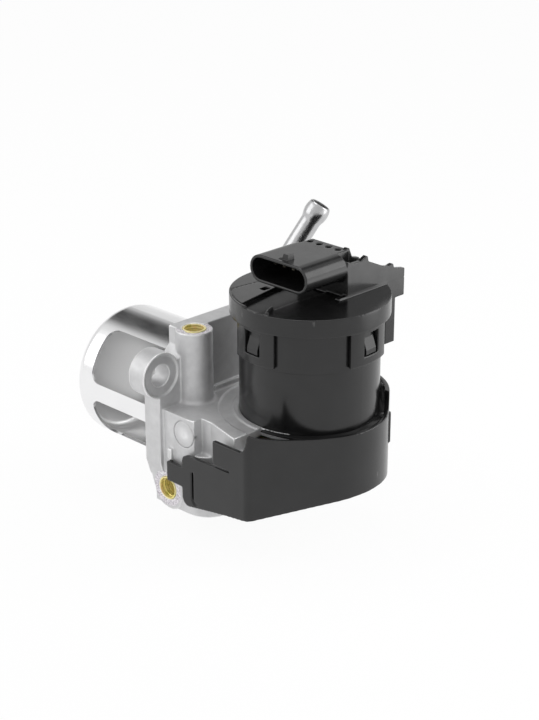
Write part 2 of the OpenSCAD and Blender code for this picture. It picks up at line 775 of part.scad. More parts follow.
module motor_magnets() color("dimgray") translate([motor_x, motor_y, 17.5]) {
    outer = can_r - can_wall - seat_gap;
    linear_extrude(22) for (a = [0, 180]) difference() {
        intersection() {
            circle(outer);
            sector(outer + 5, a - 62, a + 62);
        }
        circle(armature_r + magnet_gap);
    }
}

module brush_plate() color("saddlebrown") translate([motor_x, motor_y, 0]) difference() {
    translate([0, 0, can_top_z + seat_gap]) cylinder(h = 2.5, r = can_r);
    cylinder(h = 80, r = bearing_r + seat_gap);
}

module brushes() color("black") translate([motor_x, motor_y, 0]) for (a = [0, 180]) rotate(a)
    translate([6.1, -2.5, 42.2]) difference() {
        cube([9, 5, can_top_z - 42.2]);
        translate([-1, -1, 4]) cube([5, 7, 5]);
    }

module front_bearing() color("peru") translate([motor_x, motor_y, 0])
    ring(ceiling_z + 1.2, can_low_z + bearing_len - ceiling_z - 3, bearing_r, shaft_r + run_gap);

module rear_bearing() color("peru") translate([motor_x, motor_y, 0])
    ring(can_top_z - 2.4, bearing_len, bearing_r, shaft_r + run_gap);

// Places a child on each clip tab's middle
module at_tabs() {
    for (a = tab_angles) translate([motor_x, motor_y, 0]) rotate(a) children();
}

module motor_housing() color("#2b2b2b") {
    difference() {
        translate([motor_x, motor_y, 0]) union() {
            translate([0, 0, housing_low_z]) cylinder(h = housing_top_z - housing_low_z, r = motor_r);
            translate([0, 0, motor_step_z])
                cylinder(h = cap_band_z - motor_step_z - 0.2, r = motor_r + step_out);
            translate([0, 0, ceiling_z + 0.3]) cylinder(h = 5, r = spigot_r);
        }
        translate([motor_x, motor_y, can_low_z - seat_gap])
            cylinder(h = 60, r = motor_r - housing_wall);
        translate([motor_x, motor_y, 0]) cylinder(h = 40, r = bearing_r + seat_gap);
        at_motor_screws() cylinder(h = 40, r = motor_screw_r + seat_gap);
        translate([motor_x, motor_y, housing_low_z - cut])
            ring(0, 1.3 + cut, seal_ring_r + seal_wire_r + 0.2, seal_ring_r - seal_wire_r - 0.2);
    }
    at_tabs() latch_wedge();
}

// Wedge that snaps into the window of a clip tab
module latch_wedge() {
    reach = tab_r - 0.5;
    translate([0, 3.2, 0]) rotate([90, 0, 0]) linear_extrude(6.4) polygon([
        [motor_r - 1, tab_window_low + 0.4], [reach, tab_window_low + 0.4],
        [reach, tab_window_low + 2.4], [motor_r + 0.4, tab_window_high - 2.5],
        [motor_r - 1, tab_window_high - 2.5]
    ]);
}

module housing_seal() color("darkgreen")
    translate([motor_x, motor_y, recess_z + 0.4]) torus(seal_ring_r, seal_wire_r - 0.5);

module motor_screws() color("silver") at_motor_screws() {
    translate([0, 0, ceiling_z - 2.6]) difference() {
        cylinder(h = 2.6 - seat_gap, r = motor_screw_head_r);
        translate([0, 0, -cut]) cylinder(h = 1.6 + cut, r = 1.6, $fn = 6);
    }
    translate([0, 0, ceiling_z - 1]) cylinder(h = can_low_z + 4 - ceiling_z, r = motor_screw_r);
}

// Front outline of the connector's collar in X and Z, shrunk by g
module collar_outline(g = 0) {
    r = collar_h / 2 - g;
    span = collar_w / 2 - collar_h / 2;
    for (s = [-1, 1]) translate([motor_x + s * span, collar_mid_z]) circle(r);
    translate([motor_x - span, collar_mid_z - r]) square([2 * span, 2 * r]);
}

module connector_cap() color("#262626") {
    difference() {
        union() {
            translate([motor_x, motor_y, cap_band_z]) cylinder(h = cap_band_h, r = cap_r, $fn = 120);
            cap_tabs();
            connector_block();
            wire_duct();
        }
        // Inside of the band and the clearance to the housing
        translate([motor_x, motor_y, cap_band_z - cut])
            cylinder(h = cap_floor_z - cap_band_z + cut, r = motor_r + 0.2);
        cap_channel();
        // Collar's cavity
        along_y(collar_mouth_y - cut, collar_floor_y - collar_mouth_y + cut)
            collar_outline(collar_wall);
        connector_pin_solids(0.02);
        // Four round moulding marks on the block's top
        for (k = [0:3]) translate([motor_x - 0.5 + (k - 1.5) * pin_pitch, block_back_y - 3.6,
            collar_top_z - 2]) cylinder(h = 4, r = 1.35);
    }
    // Small curved rib at the channel's mouth
    translate([motor_x, motor_y, cap_top_z - cap_channel_depth - cut]) linear_extrude(2.4)
        polygon([[7.4, -32.2], [5.4, -29.2], [3.9, -25.9], [2.7, -25.9], [4.2, -29.6], [6.2, -33]]);
}

// Clip tabs, each with its window
module cap_tabs() {
    at_tabs() difference() {
        translate([0, 0, tab_low_z]) linear_extrude(cap_band_z - tab_low_z + 1) difference() {
            intersection() {
                circle(tab_r, $fn = 120);
                sector(40, -tab_half_angle, tab_half_angle);
            }
            circle(motor_r + step_out + 0.25, $fn = 120);
        }
        translate([0, 0, tab_window_low]) linear_extrude(tab_window_high - tab_window_low)
            sector(50, -tab_window_half, tab_window_half);
    }
}

// Sunk channel and band on the cap's top, drawn from the motor axis
module cap_channel() {
    inner_r = cap_r - 1.3;
    translate([motor_x, motor_y, cap_top_z - cap_channel_depth]) linear_extrude(3) intersection() {
        circle(inner_r, $fn = 120);
        polygon([[-8.2, -34], [-12.8, -7.8], [-13.2, 5], [4.6, 5], [3.6, -17.7], [4.4, -27.6],
            [5.6, -34]]);
    }
    // The whole right side lies a step lower, its rim too
    translate([motor_x, motor_y, cap_top_z - cap_step]) linear_extrude(3) difference() {
        polygon([[-8, -40], [-8, -34], [4.4, -27.6], [3.6, -17.7], [4.6, 5], [14, 5], [14, 40],
            [40, 40], [40, -40]]);
        translate([14, 0]) square([2.4, 40]);
    }
    translate([motor_x - 16.2, motor_y - 14, cap_top_z - 1.4]) cube([3, 4, 3]);
    // Seam lines of the tongue on the left
    translate([motor_x - 24.8, motor_y - 22.7, cap_top_z - 0.5]) rotate(-7) cube([0.5, 14.4, 1]);
    translate([motor_x, motor_y, cap_top_z - 0.5]) linear_extrude(1) intersection() {
        difference() {
            circle(33.3, $fn = 120);
            circle(32.8, $fn = 120);
        }
        sector(40, -136, -105);
    }
}

// Block that carries the collar, with the latch nub on top
module connector_block() {
    along_y(collar_mouth_y, block_front_y - 0.5 - collar_mouth_y) collar_outline();
    translate([motor_x - 10.4, block_front_y - 2, collar_mid_z])
        cube([21.2, block_back_y - block_front_y + 2, collar_top_z - collar_mid_z]);
    translate([motor_x - 12.5, block_front_y, cap_top_z - 1])
        cube([12.5 + collar_w / 2, block_back_y - block_front_y - 0.6, collar_mid_z - cap_top_z + 1]);
    translate([motor_x + 0.8, collar_mouth_y + 3.2, collar_top_z - 0.4]) cube([1.7, 2.6, 2.7]);
    translate([motor_x - 1.6, collar_mouth_y + 2.4, collar_top_z - 0.4]) cube([4.6, 4, 0.9]);
}

// Wire duct: it slopes down behind the collar, runs past the cap's edge and hangs down
module wire_duct() {
    x1 = motor_x + collar_w / 2;
    z0 = cap_top_z - 1;
    difference() {
        union() {
            along_x(x1 - 2.2, 2.2) polygon([
                [14.9, z0], [14.9, 77.4], [18.6, 75.9], [23.2, 75.8], [26.6, 77.3], [27.3, 77.1],
                [27.9, 74.7], [37.9, 70.1], [40.5, 69.5], [43.6, 70], [44.2, 67.8], [51, 66.3],
                [51, 54.2], [38.4, 54.2], [38.4, z0]
            ]);
            translate([x1 - 6, 38.4, 54.2]) cube([6, 12.6, 9.8]);
            translate([x1 - 5.8, 39.4, duct_low_z]) cube([5.8, 6, 22]);
        }
        translate([x1 - 0.35, 39.8, cap_top_z - 0.4]) cube([1, 20, 0.5]);
    }
}

module cap_seal() color("black") translate([motor_x, motor_y, housing_top_z + 0.55])
    torus(motor_r - 1.4, 0.5);

// Contact blades, grown by g for their slots
module connector_pin_solids(g = 0) {
    for (k = [0:pin_count - 1]) {
        x = motor_x + (k - (pin_count - 1) / 2) * pin_pitch;
        translate([x - pin_w / 2 - g, collar_mouth_y + pin_inset, collar_mid_z - pin_t / 2 - g])
            cube([pin_w + 2 * g, collar_floor_y - collar_mouth_y + 4 - pin_inset + g, pin_t + 2 * g]);
    }
}

module connector_pins() color("gold") connector_pin_solids();

module bottom_cover() color("gainsboro") difference() {
    translate([0, 0, cover_z - cover_t]) linear_extrude(cover_t - 0.25) intersection() {
        case_outline(-0.2);
        translate([box_end_x + 0.3, -60]) square([80, 120]);
    }
    translate([output_x - 9.2, -8.2, cover_z - 1.6]) cube([18.4, 16.4, 5]);
    translate([output_x, 0, cover_z - 1.6]) cylinder(h = 5, r = output_axle_r + seat_gap);
    translate([mid_x, mid_y, cover_z - 1.6]) cylinder(h = 5, r = mid_axle_r + seat_gap);
    for (p = cover_screws_at) translate([p[0], p[1], cover_z - cover_t - cut])
        cylinder(h = 20, r = cover_screw_r + 0.15);
}

module cover_gasket() color("black") translate([0, 0, cover_z - 0.23]) linear_extrude(0.2)
    difference() {
        intersection() {
            case_outline(-0.5);
            translate([box_end_x + 0.3, -60]) square([80, 120]);
        }
        translate([0.3, 0]) intersection() {
            case_outline(-2.4);
            translate([box_end_x + 1.7, -60]) square([80, 120]);
        }
        for (p = cover_screws_at) translate(p) circle(cover_screw_r + 0.15);
    }

module cover_screws() color("silver") for (p = cover_screws_at) translate([p[0], p[1], 0]) {
    translate([0, 0, cover_z - cover_t - 2.05]) difference() {
        cylinder(h = 2, r = 2.7);
        translate([0, 0, -cut]) cylinder(h = 1.3 + cut, r = 1.4, $fn = 6);
    }
    translate([0, 0, cover_z - cover_t - 0.2]) cylinder(h = cover_t + cover_boss_h - 1.5, r = cover_screw_r);
}

// Outer outline of the shroud in plan, shrunk by g, with a round front corner
module shroud_outline(g = 0) {
    centre = [motor_x, motor_y];
    to_corner = shroud_corner - centre;
    side = atan2(to_corner[1], to_corner[0])
        + acos((shroud_r - shroud_corner_r) / norm(to_corner));
    normal = [cos(side), sin(side)];
    translate(centre) circle(shroud_r - g, $fn = 120);
    translate(shroud_corner) circle(shroud_corner_r - g);
    polygon([
        [0, shroud_corner[1] - shroud_corner_r + g],
        shroud_corner - [0, shroud_corner_r - g],
        shroud_corner, shroud_corner + (shroud_corner_r - g) * normal,
        centre + (shroud_r - g) * normal, centre, [0, motor_y]
    ]);
}

module gear_shroud() color("#303030") {
    plate_y = shroud_corner[1] - shroud_corner_r;
    difference() {
        translate([0, 0, shroud_low_z]) linear_extrude(shroud_high_z - shroud_low_z) difference() {
            shroud_outline();
            shroud_outline(shroud_wall);
            translate([-60, -34]) square([motor_x + 50, 120]);
            translate([motor_x, motor_y]) sector(80, 92, 200);
            translate([-30, -60]) square([shroud_left_x + 30, 60]);
        }
        shroud_cuts();
        // Groove that sets off the plate's left strip
        along_y(plate_y - cut, 0.8 + cut) {
            translate([shroud_left_x + 5.6, -23.5]) square([1.5, 11.8]);
            translate([shroud_left_x + 9.6, -23.5]) intersection() {
                difference() {
                    circle(4);
                    circle(2.6);
                }
                translate([-4, -4]) square([4, 4]);
            }
        }
    }
    // Left tab that lies over the casting's side bush
    translate([shroud_left_x - 9.7, plate_y, -20.6]) cube([10.5, shroud_wall, 9]);
    translate([shroud_left_x - 9.7, plate_y, -18.6]) cube([1.6, 2.7, 7]);
    // Small rib at the back right
    translate([motor_x, motor_y, 0]) rotate(41) translate([shroud_r - 0.5, -0.8, -6])
        cube([1.3, 1.6, 14]);
}

// Trims the shroud's rim, foot, slit and left plate
module shroud_cuts() {
    x0 = shroud_left_x;
    // Sloping foot of the front wall, and the left plate's foot
    translate([64, -80, shroud_corner_low_z])
        rotate([0, -atan(shroud_slope), 0]) translate([-80, 0, -40]) cube([160, 160, 40]);
    along_y(-60, 23.5) polygon([
        [x0 - 1, -60], [x0 - 1, -23], [x0, -25.4], [x0 + 1, -27.6], [x0 + 3.2, -28.8],
        [36.2, -27.3], [50.5, -25], [64, -23.3], [64, -60]
    ]);
    // Left plate's top edge: round corner, upper tab, then the ramp up to the corner
    along_y(-60, 22) polygon([
        [0, -9], [x0, -8], [x0 + 0.8, -6.1], [x0 + 2.6, -5.2], [45, -4.6], [53.3, -4.6],
        [53.3, -3.7], [43.3, -3.7], [43.3, 7], [59.6, 7], [61.4, 8.4], [62.6, 11.2], [63.2, 15.2],
        [90, 15.2], [90, 60], [0, 60]
    ]);
    // Rim of the front wall, up to the tall part at the back
    along_x(50, 60) polygon([
        [-38.5, 15.1], [-35.2, 13.7], [-30, 12.4], [-24.6, 11.3], [-18, 10.4], [-12.8, 9.9],
        [-5.6, 9.5], [2, shroud_rim_z], [26, shroud_rim_z], [29, 11], [30.5, 14], [31.2, 60],
        [-38.5, 60]
    ]);
}

module column_bush() color("goldenrod") translate([column_x, column_y, 0])
    ring(column_top - column_bush_len + seat_gap, column_bush_len - seat_gap + 0.2,
        bush_bore_r + bush_wall, bush_bore_r);

module flange_bushes() color("goldenrod") {
    translate([0, rear_bolt[0], rear_bolt[1]]) difference() {
        x_cylinder(0.1, flange_t + 0.1, bush_bore_r + bush_wall);
        x_cylinder(-cut, 20, bush_bore_r);
    }
    // Side bush, with a wider mouth
    translate(side_bush_at - [0, 0.15, 0]) rotate([-90, 0, 0]) difference() {
        cylinder(h = side_bush_len + 0.1, r = bush_bore_r + bush_wall);
        translate([0, 0, -cut]) cylinder(h = side_bush_len + 2 * cut, r = bush_bore_r);
        translate([0, 0, -cut]) cylinder(h = side_bush_mouth + cut, r = side_bush_mouth_r);
    }
}

// Frame whose Z axis runs along the coolant pipe, with its origin at the pipe's base
module pipe_frame() {
    lean = acos(pipe_dir[2] / norm(pipe_dir));
    turn = atan2(pipe_dir[1], pipe_dir[0]);
    translate(pipe_base) rotate([0, 0, turn]) rotate([0, lean, 0]) children();
}

module coolant_pipe() color("lightgray") pipe_frame() {
    bead_z = pipe_len - 7;
    difference() {
        union() {
            translate([0, 0, -pipe_sink + seat_gap]) cylinder(h = pipe_len + pipe_sink - 5.5, r = pipe_r);
            translate([0, 0, bead_z]) cylinder(h = 2, r1 = pipe_r, r2 = pipe_r + 0.9);
            translate([0, 0, bead_z + 2]) cylinder(h = 2.6, r = pipe_r + 0.9);
            translate([0, 0, bead_z + 4.6]) cylinder(h = 2.4, r1 = pipe_r + 0.9, r2 = pipe_r - 0.5);
        }
        translate([0, 0, -pipe_sink - 1]) cylinder(h = pipe_len + 20, r = pipe_r - pipe_wall);
    }
}

module core_plug() color("lightgray") translate([22.2, -panel_y + 0.2, 2.2]) rotate([-90, 0, 0])
    difference() {
        cylinder(h = 2.6, r = 6 - seat_gap);
        translate([0, 0, -cut]) cylinder(h = cut + 0.6, r = 4.6);
    }

module flange_seal() color("black") rotate([0, 90, 0])
    translate([0, 0, 0.85]) torus(cage_r + 2.9, 0.75);

module inlet_gasket() color("dimgray") along_y(inlet_y + seat_gap, 1) difference() {
    inlet_flange_outline(inlet_lug_r);
    chamber_outline(0.3);
    for (b = inlet_bolts) translate(b) circle(inlet_bolt_r + 0.3);
}

valve_body();
outlet_cage();
seat_ring();
poppet_valve();
stem_guide();
stem_seal();
return_spring();
spring_cup();
stem_yoke();
roller_pin();
cam_roller();
output_gear();
output_axle();
sensor_magnet();
sensor_board();
intermediate_gear();
intermediate_axle();
motor_pinion();
motor_shaft();
armature();
commutator();
motor_can();
motor_magnets();
brush_plate();
brushes();
front_bearing();
rear_bearing();
motor_housing();
housing_seal();
motor_screws();
connector_cap();
cap_seal();
connector_pins();
bottom_cover();
cover_gasket();
cover_screws();
gear_shroud();
column_bush();
flange_bushes();
coolant_pipe();
core_plug();
flange_seal();
inlet_gasket();
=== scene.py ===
"""Looks of an electric exhaust gas recirculation valve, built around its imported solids.

The casting and the mouldings get rounded edges and fillets, every piece gets a procedural
finish, and a pale studio with the photograph's camera goes round them. Lengths are in metres,
and in millimetres where a name or a comment says so.
"""

import json
import math

import bpy
from mathutils import Matrix, Vector


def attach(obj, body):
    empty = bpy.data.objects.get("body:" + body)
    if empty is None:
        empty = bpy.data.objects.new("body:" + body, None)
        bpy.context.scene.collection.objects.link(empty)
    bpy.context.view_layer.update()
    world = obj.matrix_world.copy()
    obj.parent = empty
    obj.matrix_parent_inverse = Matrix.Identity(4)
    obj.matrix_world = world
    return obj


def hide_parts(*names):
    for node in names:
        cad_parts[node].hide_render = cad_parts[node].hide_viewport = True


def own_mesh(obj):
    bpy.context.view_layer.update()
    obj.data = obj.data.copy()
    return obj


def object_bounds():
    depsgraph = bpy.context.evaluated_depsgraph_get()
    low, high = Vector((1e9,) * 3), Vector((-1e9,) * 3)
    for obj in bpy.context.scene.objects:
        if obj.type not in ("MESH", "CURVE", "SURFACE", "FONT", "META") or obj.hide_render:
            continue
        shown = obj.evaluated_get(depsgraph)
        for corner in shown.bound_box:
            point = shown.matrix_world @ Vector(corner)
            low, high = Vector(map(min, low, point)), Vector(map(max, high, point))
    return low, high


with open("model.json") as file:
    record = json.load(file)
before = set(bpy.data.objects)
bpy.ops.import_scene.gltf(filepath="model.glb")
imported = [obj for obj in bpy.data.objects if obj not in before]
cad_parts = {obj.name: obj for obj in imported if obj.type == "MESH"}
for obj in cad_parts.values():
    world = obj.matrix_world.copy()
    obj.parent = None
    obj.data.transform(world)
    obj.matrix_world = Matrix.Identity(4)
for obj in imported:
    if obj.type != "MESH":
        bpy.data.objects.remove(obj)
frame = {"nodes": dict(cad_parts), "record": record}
cad_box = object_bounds()

MM = 0.001
NODES = frame["nodes"]
RECORD = frame["record"]
BODY_OF = {
    node: body
    for body, members in RECORD["behaviour"]["bodies"].items()
    for node in members
}
SLOT_OF = {part["node"]: part["material_slot"] for part in RECORD["subparts"]}
SCENE = bpy.context.scene

# Camera of the photograph: its place in mm, its view and right-hand directions, its focal length
CAMERA_AT_MM = Vector((519.6, -484.6, 306.4))
CAMERA_VIEW = Vector((-0.654, 0.657, -0.375))
CAMERA_RIGHT = Vector((0.708, 0.7055, 0.0))
FOCAL_PX = 1733.85
FRAME_HEIGHT_PX = 720
SENSOR = 36
NEAREST, FARTHEST = 0.01, 50

# From the cage's axis, how far its dull inner face reaches, and the soft border of the two finishes
CAGE_INSIDE_MM = 29.8
CAGE_BORDER_MM = 0.5
# Milled faces round the bushes: a point on each, in mm, how far the milling reaches along the
# face, and how much thinner it is along each axis
MILLED = [((10, -18.5, 42), 8.6, (1, 1, 20)), ((12.3, -37.6, -26), 8.6, (1, 20, 1))]
# Middle of the core plug's front, in mm; up to 7.4 mm off, edges get no painted highlight or
# polish.
PLUG_AT = (22.2, -37, 2.2)
PLUG_ZONE_MM = (7.4, 8.4)
# Sunk floor of the cap's top: a point on it and its radius, in mm
CAP_FLOOR = ((51, 10, 60.9), 32.8)
# Coolant pipe: foot of its axis and radius of its bore in mm, and its direction
PIPE_BASE = (4.9, 27, 42.5)
PIPE_AXIS = (0.312, 0.428, 0.847)
PIPE_BORE_MM = 3.7
# Pitches in mm of an M8 thread and of the armature's sheets
THREAD_PITCH = 1.25
SHEET_PITCH = 1.00531

# Core plug, a shallow dish almost flush with its panel: radius and depth in mm
PLUG_PROFILE = [(0, 0.2), (5, 0.2), (5.6, 0.24), (5.92, 0.4), (5.94, 2.8), (0, 2.8)]
# Height of the shroud's rim over y, both in mm, and the motor axis it runs round
RIM = [
    (-38.5, 15.1), (-35.2, 13.7), (-30, 12.4), (-24.6, 11.3), (-18, 10.4), (-12.8, 9.9),
    (-5.6, 9.5), (2, 9.3), (26, 9.3), (29, 11), (60, 11),
]
MOTOR_AXIS = (51, 10)

# Directions of the studio's dark panels, their half angle, soft edge and how much light they keep
PANELS = [((-0.654, 0.36, 0.66), 16, 8, 0.03), ((-0.134, 0.657, 0.741), 7, 6, 0.15)]
WORLD_LIGHT = 0.8
WHITE = (1, 1, 1, 1)
# How much of the floor's look to the camera and in reflections is plain white
FLOOR_WHITE = 0.93
FLOOR_REACH = 12.0
FLOOR_DROP = 0.1 * MM
# Square lamps aimed at the middle of the part: name, place, side and power
LAMPS = [
    ("key_lamp", (-0.6, -0.8, 0.6), 1.0, 3.6),
    ("side_lamp", (0.52, 0.62, 0.42), 0.45, 1.65),
    ("edge_lamp", (0.24, 0.19, 0.05), 0.16, 0.13),
    ("top_lamp", (-0.05, 0.07, 0.65), 0.28, 0.7),
]


class Graph:
    """A node tree being built."""

    def __init__(self, tree):
        self.tree = tree

    def node(self, kind, links=(), **settings):
        """New node with its settings and its inputs, as links or plain values."""
        made = self.tree.nodes.new(kind)
        for key, value in settings.items():
            setattr(made, key, value)
        for key, value in dict(links).items():
            if isinstance(value, bpy.types.NodeSocket):
                self.tree.links.new(value, made.inputs[key])
            else:
                made.inputs[key].default_value = value
        return made

    def number(self, operation, first, second):
        """Result of plain arithmetic."""
        return self.node("ShaderNodeMath", {0: first, 1: second}, operation=operation).outputs[0]

    def vector(self, operation, *values):
        """Outputs of vector arithmetic: the first is a vector, and "Value" is a number."""
        inputs = dict(enumerate(values))
        return self.node("ShaderNodeVectorMath", inputs, operation=operation).outputs

    def span(self, value, low, high, start=0.3, end=0.7, **settings):
        """value taken from start..end to low..high, held at both ends."""
        inputs = {"Value": value, 1: start, 2: end, 3: low, 4: high}
        return self.node("ShaderNodeMapRange", inputs, clamp=True, **settings).outputs[0]


class Finish(Graph):
    """A material being built, with its main shader and the object's own coordinates."""

    def __init__(self, name, colour, metallic=0.0, roughness=0.5):
        self.material = bpy.data.materials.new(name)
        self.material.use_nodes = True
        super().__init__(self.material.node_tree)
        self.shader = self.tree.nodes["Principled BSDF"]
        self.place = self.node("ShaderNodeTexCoord").outputs["Object"]
        self.normal = None
        self.set("Base Color", (*colour, 1))
        self.set("Metallic", metallic)
        self.set("Roughness", roughness)

    def set(self, socket, value):
        """Puts a plain value on the shader's own socket."""
        self.shader.inputs[socket].default_value = value

    def drive(self, socket, output):
        """Lets a node's output drive one of the shader's sockets."""
        self.tree.links.new(output, self.shader.inputs[socket])

    def blend(self, factor, first, second):
        """Plain number that goes from first to second with factor; each may be a link."""
        return self.node("ShaderNodeMix", {0: factor, 2: first, 3: second}).outputs[0]

    def tones(self, factor, first, second):
        """Colour that goes from first to second with factor; each may be a link."""
        ends = [
            end if isinstance(end, bpy.types.NodeSocket) else (*end, 1)
            for end in (first, second)
        ]
        inputs = {0: factor, 6: ends[0], 7: ends[1]}
        return self.node("ShaderNodeMix", inputs, data_type="RGBA").outputs[2]

    def tone_steps(self, factor, stops):
        """Colour ramp through stops, each a place and a colour."""
        ramp = self.node("ShaderNodeValToRGB", {0: factor})
        while len(ramp.color_ramp.elements) < len(stops):
            ramp.color_ramp.elements.new(0.5)
        for element, (at, colour) in zip(ramp.color_ramp.elements, stops):
            element.position = at
            element.color = (*colour, 1)
        return ramp.outputs[0]

    def stretched(self, factors):
        """The object's coordinates, scaled along each axis."""
        return self.vector("MULTIPLY", self.place, factors)[0]

    def noise(self, size_mm, detail=2.0, rough=0.5, stretch=None):
        """Cloudy noise from 0 to 1 with patches about size_mm across."""
        inputs = {
            "Vector": self.stretched(stretch) if stretch else self.place,
            "Scale": 1 / (size_mm * MM),
            "Detail": detail,
            "Roughness": rough,
        }
        return self.node("ShaderNodeTexNoise", inputs).outputs["Fac"]

    def bands(self, pitch_mm, direction):
        """Waves from 0 to 1 along an axis; the wave texture has 20 to 2 pi of its own units."""
        inputs = {
            "Vector": self.place,
            "Scale": 2 * math.pi / (20 * pitch_mm * MM),
            "Distortion": 0,
        }
        return self.node("ShaderNodeTexWave", inputs, bands_direction=direction).outputs["Fac"]

    def distance(self, at_mm, factors=(1, 1, 1)):
        """Distance from a point in mm, with each axis scaled; 0 takes an axis out."""
        middle = Vector(at_mm) * Vector(factors) * MM
        return self.vector("DISTANCE", self.stretched(factors), middle)["Value"]

    def within(self, far, radius_mm, soft_mm):
        """1 where far is under the radius and 0 beyond it, fading over the last soft_mm."""
        return self.span(far, 1, 0, (radius_mm - soft_mm) * MM, radius_mm * MM)

    def convex(self, start, end):
        """1 on the outer edges of the form, 0 on its faces and in its corners."""
        pointed = self.node("ShaderNodeNewGeometry").outputs["Pointiness"]
        return self.span(pointed, 0, 1, start, end)

    def round_edges(self, radius_mm):
        """Softens the light on sharp edges, as the small real radius does."""
        inputs = {"Radius": radius_mm * MM}
        self.normal = self.node("ShaderNodeBevel", inputs, samples=4).outputs["Normal"]
        self.drive("Normal", self.normal)

    def relief(self, height, depth_mm, strength=1.0):
        """Adds fine surface relief of depth_mm where height goes from 0 to 1."""
        inputs = {"Height": height, "Distance": depth_mm * MM, "Strength": strength}
        if self.normal is not None:
            inputs["Normal"] = self.normal
        self.normal = self.node("ShaderNodeBump", inputs).outputs["Normal"]
        self.drive("Normal", self.normal)


def cast_aluminium(name):
    """Satin die casting: cloudy grey with a fine grain, glittering milled faces, painted edge
    highlights.
    """
    finish = Finish(name, (0.6, 0.6, 0.6), metallic=0.55)
    milled = None
    for at_mm, reach_mm, flat in MILLED:
        near = finish.within(finish.distance(at_mm, flat), reach_mm, 0.6)
        milled = near if milled is None else finish.number("MAXIMUM", milled, near)
    clouds = finish.span(finish.noise(7, detail=4, rough=0.6), 0, 1)
    cast = finish.tones(clouds, (0.54, 0.54, 0.545), (0.64, 0.64, 0.645))
    grit = finish.noise(0.45, detail=2, rough=0.7)
    specks = finish.span(grit, 0, 1, 0.4, 0.6)
    glitter = finish.tones(specks, (0.42, 0.39, 0.43), (0.94, 0.91, 0.94))
    start_mm, end_mm = PLUG_ZONE_MM
    from_plug = finish.distance(PLUG_AT, (1, 0.3, 1))
    off_plug = finish.span(from_plug, 0, 1, start_mm * MM, end_mm * MM)
    # Painted highlight: outer edges away from the plug are painted pale, and they are also less
    # rough.
    edge_polish_and_painted_glint = finish.number("MULTIPLY", off_plug, finish.convex(0.51, 0.55))
    faces = finish.tones(milled, cast, glitter)
    finish.drive("Base Color", finish.tones(edge_polish_and_painted_glint, faces, (0.86, 0.86, 0.86)))
    face_roughness = finish.span(finish.noise(2.5, detail=3), 0.4, 0.56)
    finish.drive("Roughness", finish.blend(edge_polish_and_painted_glint, face_roughness, 0.26))
    finish.round_edges(0.3)
    finish.relief(finish.noise(0.7, detail=4, rough=0.65), 0.035)
    finish.relief(finish.noise(5, detail=2), 0.08)
    finish.relief(finish.number("MULTIPLY", grit, milled), 0.35)
    return finish.material


def drawn_stainless(name):
    """Polished deep-drawn sheet with faint streaks round the draw, duller on its inner side."""
    finish = Finish(name, (0.8, 0.8, 0.8), metallic=1.0)
    from_axis = finish.vector("LENGTH", finish.stretched((0, 1, 1)))["Value"]
    inside = finish.within(from_axis, CAGE_INSIDE_MM, CAGE_BORDER_MM)
    streaks = finish.noise(2.5, detail=2, rough=0.5, stretch=(0.2, 1, 1))
    clouds = finish.noise(12, detail=2)
    bright = finish.tones(clouds, (0.84, 0.84, 0.845), (0.9, 0.9, 0.905))
    finish.drive("Base Color", finish.tones(inside, bright, (0.68, 0.68, 0.68)))
    finish.drive("Metallic", finish.span(inside, 1, 0.6, 0, 1))
    finish.drive("Roughness", finish.blend(inside, finish.span(streaks, 0.2, 0.25), 0.3))
    return finish.material


def ground_steel(name):
    """Steel with fine grinding marks."""
    finish = Finish(name, (0.52, 0.52, 0.53), metallic=1.0)
    scratches = finish.noise(0.25, detail=3, stretch=(0.1, 1, 1))
    finish.drive("Roughness", finish.span(scratches, 0.22, 0.38))
    finish.round_edges(0.15)
    finish.relief(scratches, 0.01)
    return finish.material


def plated_steel(name):
    """Bright nickel plate with a slightly wavy surface under it."""
    finish = Finish(name, (0.64, 0.64, 0.645), metallic=1.0)
    finish.drive("Roughness", finish.span(finish.noise(3, detail=3), 0.18, 0.28))
    finish.round_edges(0.2)
    finish.relief(finish.noise(4, detail=1), 0.03)
    return finish.material


def black_plastic(name, painted_edge_highlight=False, dull_floor=None):
    """Glass-filled plastic as moulded: near black, semi-gloss, with a fine spark-eroded grain.

    dull_floor is the centre of a sunk floor that has hardly any sheen, and its radius, in mm.
    """
    dark, pale = (0.006, 0.006, 0.0062), (0.01, 0.01, 0.0102)
    finish = Finish(name, dark)
    clouds = finish.noise(11, detail=4, rough=0.6)
    plastic_tone = finish.tones(finish.span(clouds, 0, 1), dark, pale)
    # Painted highlight: outer edges can be painted paler, where light would catch them.
    if painted_edge_highlight:
        plastic_tone = finish.tones(finish.convex(0.52, 0.6), plastic_tone, (0.05, 0.05, 0.05))
    finish.drive("Base Color", plastic_tone)
    finish.drive("Roughness", finish.span(finish.noise(4, detail=4, rough=0.6), 0.17, 0.24))
    if dull_floor:
        at_mm, radius_mm = dull_floor
        level = finish.within(finish.distance(at_mm, (0, 0, 1)), 0.5, 0.3)
        near = finish.within(finish.distance(at_mm, (1, 1, 0)), radius_mm, 0.2)
        on_floor = finish.number("MULTIPLY", level, near)
        finish.drive("Specular IOR Level", finish.span(on_floor, 0.5, 0.08, 0, 1))
    finish.round_edges(0.3)
    finish.relief(finish.noise(0.5, detail=1), 0.003)
    finish.relief(finish.noise(12, detail=1), 0.05)
    return finish.material


